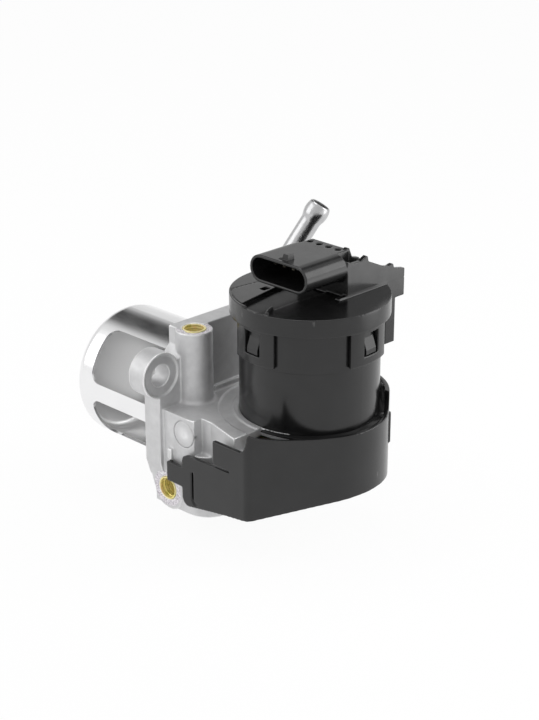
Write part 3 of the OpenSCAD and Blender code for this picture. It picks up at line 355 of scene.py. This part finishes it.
def bright_pipe(name):
    """Nickel plated pipe: wavy and bright outside, dark and dull in its bore."""
    finish = Finish(name, (0.6, 0.6, 0.605), metallic=1.0)
    from_base = finish.vector("SUBTRACT", finish.place, Vector(PIPE_BASE) * MM)[0]
    across = finish.vector("CROSS_PRODUCT", from_base, Vector(PIPE_AXIS).normalized())[0]
    from_axis = finish.vector("LENGTH", across)["Value"]
    bore = finish.within(from_axis, PIPE_BORE_MM + 0.5, 0.5)
    plate = finish.tones(finish.noise(3, detail=3), (0.44, 0.44, 0.445), (0.6, 0.6, 0.605))
    bore_mottle = finish.span(finish.noise(0.8), 0, 1)
    bore_tone = finish.tones(bore_mottle, (0.02, 0.02, 0.02), (0.12, 0.12, 0.12))
    # The bore is painted dark, in mottled tones.
    finish.drive("Base Color", finish.tones(bore, plate, bore_tone))
    finish.drive("Metallic", finish.span(bore, 1, 0.2, 0, 1))
    outside_roughness = finish.span(finish.noise(2, detail=3), 0.2, 0.32)
    finish.drive("Roughness", finish.blend(bore, outside_roughness, 0.7))
    finish.relief(finish.noise(3.5, detail=2), 0.12)
    return finish.material


def yellow_zinc(name, thread=None):
    """Yellow passivated steel: gold with pale and rosy clouds, and thread grooves on an axis."""
    finish = Finish(name, (0.75, 0.6, 0.2), metallic=0.55)
    stops = [
        (0.3, (0.66, 0.62, 0.2)), (0.45, (0.9, 0.8, 0.36)), (0.58, (0.95, 0.86, 0.46)),
        (0.7, (0.92, 0.66, 0.34)),
    ]
    finish.drive("Base Color", finish.tone_steps(finish.noise(2.6, detail=2), stops))
    finish.drive("Roughness", finish.span(finish.noise(1.5), 0.26, 0.36))
    finish.round_edges(0.15)
    if thread:
        finish.relief(finish.bands(THREAD_PITCH, thread), 0.2, strength=0.6)
    return finish.material


def rubber(name, colour):
    """Dull rubber with a fine grain."""
    finish = Finish(name, colour, roughness=0.6)
    finish.drive("Roughness", finish.span(finish.noise(1.5, detail=3), 0.5, 0.7))
    finish.relief(finish.noise(0.2, detail=2), 0.01)
    return finish.material


def deep_shade(name):
    """Painted shade: matte black with no sheen, for the bottom of a groove too narrow for light to
    reach.
    """
    finish = Finish(name, (0.002, 0.002, 0.002), roughness=0.9)
    finish.set("Specular IOR Level", 0.0)
    return finish.material


def metal(name, colour, rough, grain_mm, metallic=1.0, stretch=None):
    """Plain machined or sintered metal with a grain."""
    finish = Finish(name, colour, metallic=metallic)
    grain = finish.noise(grain_mm, detail=3, stretch=stretch)
    darker = tuple(0.72 * part for part in colour)
    finish.drive("Base Color", finish.tones(finish.span(finish.noise(3), 0, 1), darker, colour))
    finish.drive("Roughness", finish.span(grain, rough - 0.08, rough + 0.1))
    finish.round_edges(0.12)
    finish.relief(grain, 0.01)
    return finish.material


def laminated_iron(name):
    """Stack of thin varnished sheets across the motor axis."""
    finish = Finish(name, (0.2, 0.17, 0.15), metallic=0.8, roughness=0.45)
    sheets = finish.bands(SHEET_PITCH, "Z")
    finish.drive("Base Color", finish.tones(sheets, (0.11, 0.09, 0.08), (0.3, 0.26, 0.23)))
    finish.relief(sheets, 0.05)
    return finish.material


def nylon(name):
    """Natural nylon: cream, faintly translucent."""
    finish = Finish(name, (0.62, 0.57, 0.45), roughness=0.4)
    clouds = finish.noise(4, detail=3)
    finish.drive("Base Color", finish.tones(clouds, (0.56, 0.5, 0.38), (0.7, 0.65, 0.53)))
    finish.set("Subsurface Weight", 0.15)
    finish.set("Subsurface Scale", 0.001)
    finish.round_edges(0.15)
    finish.relief(finish.noise(0.3), 0.006)
    return finish.material


def circuit_board(name):
    """Green board with the relief of tracks under its varnish."""
    finish = Finish(name, (0.02, 0.16, 0.06), roughness=0.3)
    tracks = finish.span(finish.noise(1.6, detail=0), 0, 1, 0.49, 0.51)
    finish.drive("Base Color", finish.tones(tracks, (0.01, 0.1, 0.04), (0.03, 0.2, 0.08)))
    finish.relief(tracks, 0.03)
    return finish.material


def make_finishes():
    """One material for each of the record's slots."""
    return {
        "cast_aluminium": cast_aluminium("cast_aluminium"),
        "drawn_stainless": drawn_stainless("drawn_stainless"),
        "steel": ground_steel("ground_steel"),
        "plated_steel": plated_steel("plated_steel"),
        "black_plastic": black_plastic("black_plastic"),
        "yellow_zinc": yellow_zinc("yellow_zinc"),
        "black_rubber": rubber("black_rubber", (0.02, 0.02, 0.02)),
        "green_rubber": rubber("green_rubber", (0.04, 0.16, 0.07)),
        "bronze": metal("bronze", (0.5, 0.32, 0.16), 0.4, 0.5),
        "copper": metal("copper", (0.72, 0.34, 0.2), 0.3, 0.4, stretch=(1, 1, 0.1)),
        "brass": metal("brass", (0.74, 0.56, 0.26), 0.28, 0.4),
        "magnet": metal("magnet", (0.09, 0.09, 0.1), 0.5, 0.3, metallic=0.6),
        "laminated_iron": laminated_iron("laminated_iron"),
        "natural_nylon": nylon("natural_nylon"),
        "graphite": metal("graphite", (0.05, 0.05, 0.055), 0.55, 0.3, metallic=0.3),
        "circuit_board": circuit_board("circuit_board"),
        "tinned_contact": metal("tinned_contact", (0.07, 0.065, 0.055), 0.35, 0.6),
        "gasket_steel": metal("gasket_steel", (0.4, 0.4, 0.41), 0.42, 1.2),
    }


def make_own_finishes():
    """Materials of single nodes, which go before their slot's."""
    return {
        "coolant_pipe": bright_pipe("bright_pipe"),
        "connector_cap": black_plastic("cap_plastic", painted_edge_highlight=True, dull_floor=CAP_FLOOR),
        "gear_shroud": black_plastic("shroud_plastic", painted_edge_highlight=True),
        "core_plug": cast_aluminium("plug_face"),
        "column_bush": yellow_zinc("yellow_zinc_column", thread="Z"),
        "flange_bushes": yellow_zinc("yellow_zinc_side", thread="Y"),
    }


def dress(piece, node):
    """Gives a piece the finish of a CAD node's slot, or the node's own."""
    piece.data.materials.clear()
    piece.data.materials.append(OWN_FINISHES.get(node, FINISHES[SLOT_OF[node]]))


def add_piece(name, mesh, node, replaces=True, finish=None):
    """Links a piece that rides with a CAD node's body and has its finish, or its own."""
    piece = bpy.data.objects.new(name, mesh)
    SCENE.collection.objects.link(piece)
    dress(piece, node)
    if finish:
        piece.data.materials[0] = finish
    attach(piece, BODY_OF[node])
    if replaces:
        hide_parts(node)
    return piece


def softened(node, name, voxel_mm, passes, keep):
    """Stands for a node with its edges rounded and its inner corners filled, as a mould does.

    The surface is rebuilt from voxels, eased in some passes, and keeps a share of its faces.
    """
    draft = bpy.data.objects.new(name + "_draft", NODES[node].data.copy())
    SCENE.collection.objects.link(draft)
    grid = draft.modifiers.new("grid", "REMESH")
    grid.mode = "VOXEL"
    grid.voxel_size = voxel_mm * MM
    ease = draft.modifiers.new("ease", "SMOOTH")
    ease.factor = 0.5
    ease.iterations = passes
    thin = draft.modifiers.new("thin", "DECIMATE")
    thin.ratio = keep
    bpy.context.view_layer.update()
    evaluated = draft.evaluated_get(bpy.context.evaluated_depsgraph_get())
    shape = bpy.data.meshes.new_from_object(evaluated)
    bpy.data.objects.remove(draft)
    shape.shade_smooth()
    shape.name = name
    add_piece(name, shape, node)


def strips(count, here, there):
    """Quads between two rings of count points that start at two indices."""
    return [
        (here + k, there + k, there + (k + 1) % count, here + (k + 1) % count)
        for k in range(count)
    ]


def lathe(name, node, profile, base, axis, sides=96):
    """Solid of revolution from a closed profile of (radius, height) points in mm."""
    turn = Vector(axis).to_track_quat("Z", "X")
    count = len(profile)
    points, faces = [], []
    for step in range(sides):
        angle = 2 * math.pi * step / sides
        for radius, height in profile:
            local = Vector((radius * math.cos(angle), radius * math.sin(angle), height))
            points.append((turn @ local + Vector(base)) * MM)
        faces += strips(count, step * count, (step + 1) % sides * count)
    mesh = bpy.data.meshes.new(name)
    mesh.from_pydata(points, [], faces)
    mesh.validate()
    mesh.shade_smooth()
    add_piece(name, mesh, node)


def prism(name, outline, steps, place):
    """Closed mesh swept through steps; place(point, step) gives each outline point in mm."""
    count = len(outline)
    points = [Vector(place(point, step)) * MM for step in range(steps + 1) for point in outline]
    faces = [tuple(range(count))]
    for step in range(steps):
        faces += strips(count, count * step, count * (step + 1))
    faces.append(tuple(count * steps + k for k in reversed(range(count))))
    mesh = bpy.data.meshes.new(name)
    mesh.from_pydata(points, [], faces)
    mesh.validate()
    return mesh


def pipe_profile():
    """Coolant pipe: sunk foot, straight wall, the bead with soft shoulders, and its bore."""
    outer, bead_rise, bead_steps = 4.5, 0.95, 12
    wall = [(outer, height) for height in (-8.95, 0, 20, 38, 41.5)]
    bead = []
    for step in range(bead_steps + 1):
        share = step / bead_steps
        swell = math.sin(math.pi * (0.06 + 0.84 * share)) ** 0.7
        bead.append((outer + bead_rise * swell, 42.6 + 6.6 * share))
    mouth = [(4.75, 49.6), (4.45, 49.9), (4.1, 50), (3.8, 49.85), (3.6, 49.4)]
    bore = [(3.6, height) for height in (46, 30, 0, -8.95)]
    return wall + bead + mouth + bore


def rim_height(y):
    """Height in mm of the shroud's rim at y."""
    for (y0, z0), (y1, z1) in zip(RIM, RIM[1:]):
        if y <= y1:
            return z0 + (z1 - z0) * max(0, y - y0) / (y1 - y0)
    return RIM[-1][1]


def add_shade_lip():
    """Painted shade: a black lip that closes the slot round the foot of the motor housing."""
    foot, inner, outer = 9.4, 29.6, 33
    first, last, steps = -84, 88, 86
    # Each point of the section: its radius, its height, and whether that is above the rim
    section = [
        (inner, 0, False), (30.3, 0, False), (outer, -1.1, True), (outer, -1.9, True),
        (inner, -0.9, False),
    ]

    def place(point, step):
        radius, rise, by_rim = point
        angle = math.radians(first + (last - first) * step / steps)
        height = rim_height(MOTOR_AXIS[1] + outer * math.sin(angle)) if by_rim else foot
        x = MOTOR_AXIS[0] + radius * math.cos(angle)
        y = MOTOR_AXIS[1] + radius * math.sin(angle)
        return x, y, height + rise

    # Painted shade: this black ring stands for the shadow over the casting's ledge in that slot.
    mesh = prism("shroud_shade_lip", section, steps, place)
    finish = FINISHES["black_plastic"]
    add_piece("shroud_shade_lip", mesh, "gear_shroud", replaces=False, finish=finish)


def add_block_rib():
    """Rib that slopes from the block's back corner down to the wire duct."""
    left, thickness = 59.6, 1.9
    outline = [
        (20, 80.1), (21.2, 80.7), (22, 80.5), (23.9, 76.2), (28, 75.2), (30, 73), (20, 73),
    ]
    mesh = prism("block_rib", outline, 1, lambda point, step: (left + thickness * step, *point))
    finish = FINISHES["black_plastic"]
    add_piece("block_rib", mesh, "connector_cap", replaces=False, finish=finish)


def add_latch_nub():
    """Latch nub on the collar: a blunt pyramid, wide at its foot."""
    foot = [(50.6, -6.9), (54.3, -6.9), (54.3, -3.0), (50.6, -3.0)]
    crown = [(51.6, -6.6), (53.9, -6.6), (53.9, -3.4), (51.6, -3.4)]
    rings = [(foot, 79.8), (crown, 82.4)]

    def place(k, step):
        corners, height = rings[step]
        return (*corners[k], height)

    mesh = prism("latch_nub", range(len(foot)), 1, place)
    finish = FINISHES["black_plastic"]
    add_piece("latch_nub", mesh, "connector_cap", replaces=False, finish=finish)


def add_groove_shade():
    """Painted shade: a matte black sheet in the deep groove that sets off the shroud's left strip.
    """
    bottom, thickness = -39.5, 0.2
    outline = [(29.9, -24.6), (31.2, -24.6), (31.2, -11.8), (29.9, -11.8)]

    def place(point, step):
        x, z = point
        return x, bottom + thickness * step, z

    mesh = prism("groove_shade_sheet", outline, 1, place)
    finish = deep_shade("groove_shade")
    add_piece("groove_shade_sheet", mesh, "gear_shroud", replaces=False, finish=finish)


def add_spring():
    """Return spring, shortening towards the casting as the valve opens; its mesh is only copied."""
    spring = add_piece("coil_spring", NODES["return_spring"].data.copy(), "return_spring")
    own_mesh(spring)


def add_camera():
    """The photograph's camera."""
    view = CAMERA_VIEW.normalized()
    right = CAMERA_RIGHT.normalized()
    up = right.cross(view).normalized()
    data = bpy.data.cameras.new("camera")
    data.sensor_width = SENSOR
    data.lens = SENSOR * FOCAL_PX / FRAME_HEIGHT_PX
    data.clip_start = NEAREST
    data.clip_end = FARTHEST
    camera = bpy.data.objects.new("camera", data)
    turn = Matrix((right, up, -view)).transposed().to_4x4()
    camera.matrix_world = Matrix.Translation(CAMERA_AT_MM * MM) @ turn
    SCENE.collection.objects.link(camera)
    SCENE.camera = camera


def add_floor():
    """Pale floor just under the part. It shows white, and keeps a light shadow."""
    z = cad_box[0].z - FLOOR_DROP
    low, high = -FLOOR_REACH, FLOOR_REACH
    corners = [(low, low, z), (high, low, z), (high, high, z), (low, high, z)]
    mesh = bpy.data.meshes.new("floor")
    mesh.from_pydata(corners, [], [(0, 1, 2, 3)])
    floor = bpy.data.objects.new("floor", mesh)
    SCENE.collection.objects.link(floor)
    finish = Finish("pale_floor", (0.9, 0.9, 0.9), roughness=0.9)
    finish.set("Specular IOR Level", 0.1)
    white = finish.node("ShaderNodeEmission", {"Color": WHITE, "Strength": 1.0})
    path = finish.node("ShaderNodeLightPath").outputs
    seen = finish.number("MAXIMUM", path["Is Camera Ray"], path["Is Glossy Ray"])
    share = finish.number("MULTIPLY", seen, FLOOR_WHITE)
    inputs = {0: share, 1: finish.shader.outputs[0], 2: white.outputs[0]}
    both = finish.node("ShaderNodeMixShader", inputs)
    out = finish.tree.nodes["Material Output"]
    finish.tree.links.new(both.outputs[0], out.inputs["Surface"])
    mesh.materials.append(finish.material)


def add_world():
    """White to the camera; for the light, an even studio with soft dark panels."""
    world = bpy.data.worlds.new("studio")
    SCENE.world = world
    world.use_nodes = True
    world.node_tree.nodes.clear()
    graph = Graph(world.node_tree)
    toward = graph.node("ShaderNodeTexCoord").outputs["Generated"]
    level = WORLD_LIGHT
    for direction, half, soft, kept in PANELS:
        facing = graph.vector("DOT_PRODUCT", toward, Vector(direction).normalized())["Value"]
        start, end = (math.cos(math.radians(angle)) for angle in (half + soft, half - soft))
        fade = graph.span(facing, 1, kept, start, end, interpolation_type="SMOOTHSTEP")
        level = graph.number("MULTIPLY", level, fade)
    path = graph.node("ShaderNodeLightPath").outputs
    strength = graph.number("MAXIMUM", path["Is Camera Ray"], level)
    light = graph.node("ShaderNodeBackground", {"Color": WHITE, "Strength": strength})
    graph.node("ShaderNodeOutputWorld", {"Surface": light.outputs[0]})


def add_lamps():
    """The studio's lamps, turned towards the middle of the part."""
    middle = (cad_box[0] + cad_box[1]) / 2
    for name, at, size, power in LAMPS:
        data = bpy.data.lights.new(name, "AREA")
        data.shape = "SQUARE"
        data.size = size
        data.energy = power
        lamp = bpy.data.objects.new(name, data)
        lamp.location = at
        lamp.rotation_mode = "QUATERNION"
        lamp.rotation_quaternion = (middle - Vector(at)).to_track_quat("-Z", "Y")
        SCENE.collection.objects.link(lamp)


FINISHES = make_finishes()
OWN_FINISHES = make_own_finishes()
add_camera()
for node_name, node_object in NODES.items():
    dress(node_object, node_name)
softened("valve_body", "body_casting", voxel_mm=0.38, passes=1, keep=0.27)
softened("gear_shroud", "shroud_moulding", voxel_mm=0.32, passes=5, keep=0.3)
softened("connector_cap", "cap_moulding", voxel_mm=0.28, passes=2, keep=0.3)
lathe("coolant_tube", "coolant_pipe", pipe_profile(), PIPE_BASE, PIPE_AXIS)
lathe("plug", "core_plug", PLUG_PROFILE, PLUG_AT, (0, 1, 0))
add_shade_lip()
add_block_rib()
add_latch_nub()
add_groove_shade()
add_spring()
add_floor()
add_world()
add_lamps()
SCENE.view_settings.view_transform = "Standard"
